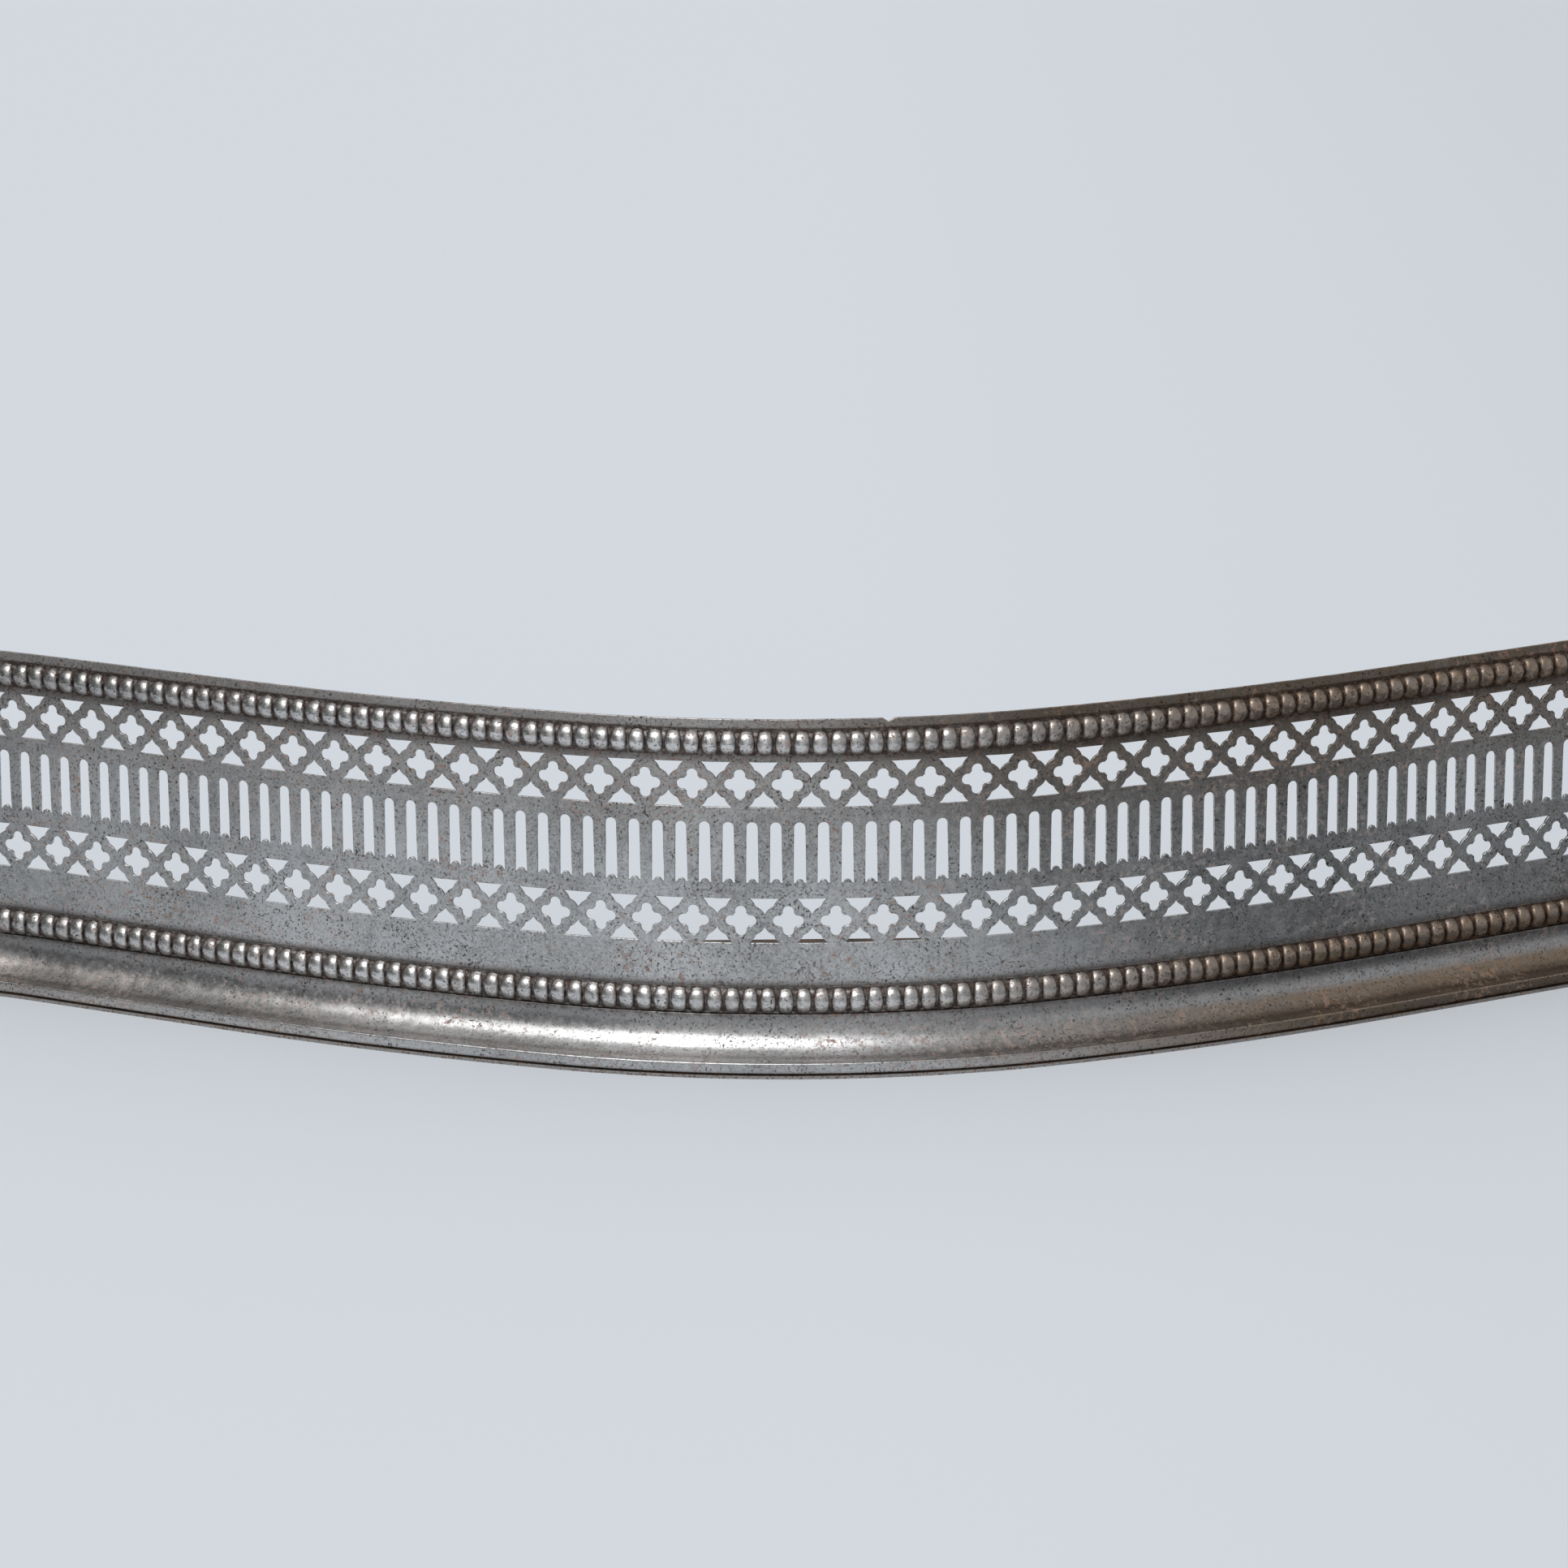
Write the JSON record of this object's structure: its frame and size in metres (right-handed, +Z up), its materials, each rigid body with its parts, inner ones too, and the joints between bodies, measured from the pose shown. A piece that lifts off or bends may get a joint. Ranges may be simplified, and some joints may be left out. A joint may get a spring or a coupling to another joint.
{
  "type": "fire fender",
  "caption": "Low serpentine hearth fender: a pierced steel gallery between beaded strips, on a coved base moulding and an iron floor plate, open behind towards the fire.",
  "frame": {"origin": "on the floor, under the middle of the whole fender's box", "axes": "+X along the fireplace, +Y from the room towards the fire, +Z up; the bowed front faces -Y"},
  "size_m": [1.184, 0.2104, 0.1665],
  "materials": {
    "gallery_steel": "worn polish, finely pitted, with light rust",
    "bead_steel": "worn bright on the crowns, brown in the grooves",
    "moulding_steel": "worn polish, finely pitted, with light rust",
    "plate_iron": "unpolished rolled iron with a brown coat of rust",
    "knee_iron": "unpolished forged iron with a brown coat of rust",
    "rivet_iron": "unpolished iron"
  },
  "bodies": {
    "root": {"base_plate": "plate_iron", "gallery_centre": "gallery_steel", "gallery_left": "gallery_steel", "gallery_right": "gallery_steel", "strap_left": "knee_iron", "strap_right": "knee_iron", "upper_beads_left": "bead_steel", "upper_beads_right": "bead_steel", "lower_beads_centre": "bead_steel", "lower_beads_left": "bead_steel", "lower_beads_right": "bead_steel", "moulding_centre": "moulding_steel", "moulding_left": "moulding_steel", "moulding_right": "moulding_steel", "knee_1": "knee_iron", "knee_2": "knee_iron", "knee_3": "knee_iron", "knee_4": "knee_iron", "knee_5": "knee_iron", "knee_6": "knee_iron", "knee_7": "knee_iron", "upper_bead_rivets": "rivet_iron", "lower_bead_rivets": "rivet_iron", "knee_rivets": "rivet_iron", "plate_rivets": "rivet_iron", "strap_rivets": "rivet_iron"}
  },
  "joints": []
}
